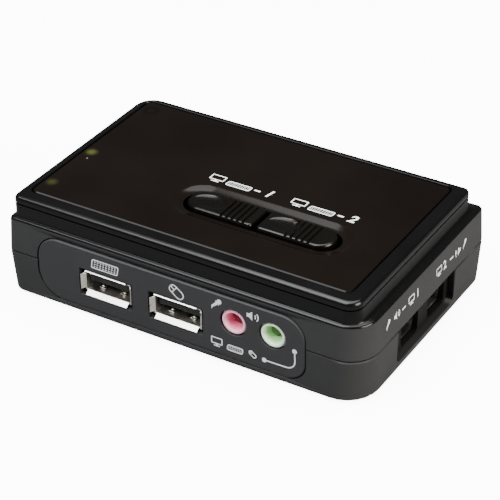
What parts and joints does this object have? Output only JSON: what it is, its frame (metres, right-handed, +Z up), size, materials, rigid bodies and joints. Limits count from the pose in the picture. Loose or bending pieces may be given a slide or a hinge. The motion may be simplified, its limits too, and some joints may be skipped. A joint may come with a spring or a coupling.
{
  "type": "kvm switch",
  "caption": "Pocket-sized desktop KVM switch: rounded black case with a smoked top panel, push-button selectors, console USB and audio sockets in front, computer sockets at side and rear.",
  "frame": {"origin": "centre of the bounding box in plan, on the surface the feet stand on", "axes": "+X to the right along the long front face, +Y towards the rear video connectors, +Z up"},
  "size_m": [0.0976, 0.065, 0.0276],
  "materials": {
    "textured_case": "fine texture, satin",
    "gloss_cover": "glossy",
    "smoked_panel": "glossy smoked acrylic",
    "button_plastic": "semi-gloss",
    "nickel_steel": "bright nickel plate",
    "screw_steel": "black zinc",
    "black_resin": "moulded, matte",
    "blue_resin": "moulded, satin",
    "pink_plastic": "satin",
    "green_plastic": "satin",
    "board_laminate": "solder mask",
    "capacitor_sleeve": "shrink sleeve",
    "clear_pipe": "clear acrylic",
    "led_resin": "clear green resin",
    "foot_rubber": "matte"
  },
  "bodies": {
    "case": {"capacitor_1": "capacitor_sleeve", "capacitor_2": "capacitor_sleeve", "case_screw_1": "screw_steel", "case_screw_2": "screw_steel", "case_screw_3": "screw_steel", "case_screw_4": "screw_steel", "circuit_board": "board_laminate", "controller_chip": "black_resin", "crystal": "nickel_steel", "front_socket_plate": "textured_case", "jackscrew_1": "nickel_steel", "jackscrew_2": "nickel_steel", "jackscrew_3": "nickel_steel", "jackscrew_4": "nickel_steel", "jackscrew_5": "nickel_steel", "jackscrew_6": "nickel_steel", "led_1": "led_resin", "led_2": "led_resin", "light_pipe_1": "clear_pipe", "light_pipe_2": "clear_pipe", "lower_shell": "textured_case", "mic_jack": "pink_plastic", "mini_socket_insert_1": "black_resin", "mini_socket_insert_2": "black_resin", "mini_socket_shell_1": "nickel_steel", "mini_socket_shell_2": "nickel_steel", "rubber_foot_1": "foot_rubber", "rubber_foot_2": "foot_rubber", "rubber_foot_3": "foot_rubber", "rubber_foot_4": "foot_rubber", "smoked_panel": "smoked_panel", "speaker_jack": "green_plastic", "tact_switch_1": "nickel_steel", "tact_switch_2": "nickel_steel", "top_tray": "gloss_cover", "upper_shell": "textured_case", "usb_socket_insert_1": "black_resin", "usb_socket_insert_2": "black_resin", "usb_socket_shell_1": "nickel_steel", "usb_socket_shell_2": "nickel_steel", "video_insert_1": "blue_resin", "video_insert_2": "blue_resin", "video_insert_3": "blue_resin", "video_shell_1": "nickel_steel", "video_shell_2": "nickel_steel", "video_shell_3": "nickel_steel", "video_switch_chip": "black_resin"},
    "button_1": {"select_button_1": "button_plastic", "switch_plunger_1": "black_resin"},
    "button_2": {"select_button_2": "button_plastic", "switch_plunger_2": "black_resin"}
  },
  "joints": [
    {"name": "press_1", "type": "slide", "parent": "case", "child": "button_1", "axis": [0, 0, -1], "range_m": [0, 0.0006], "stiffness_N_per_m": 2500, "springref_m": -0.00005},
    {"name": "press_2", "type": "slide", "parent": "case", "child": "button_2", "axis": [0, 0, -1], "range_m": [0, 0.0006], "stiffness_N_per_m": 2500, "springref_m": -0.00005}
  ]
}
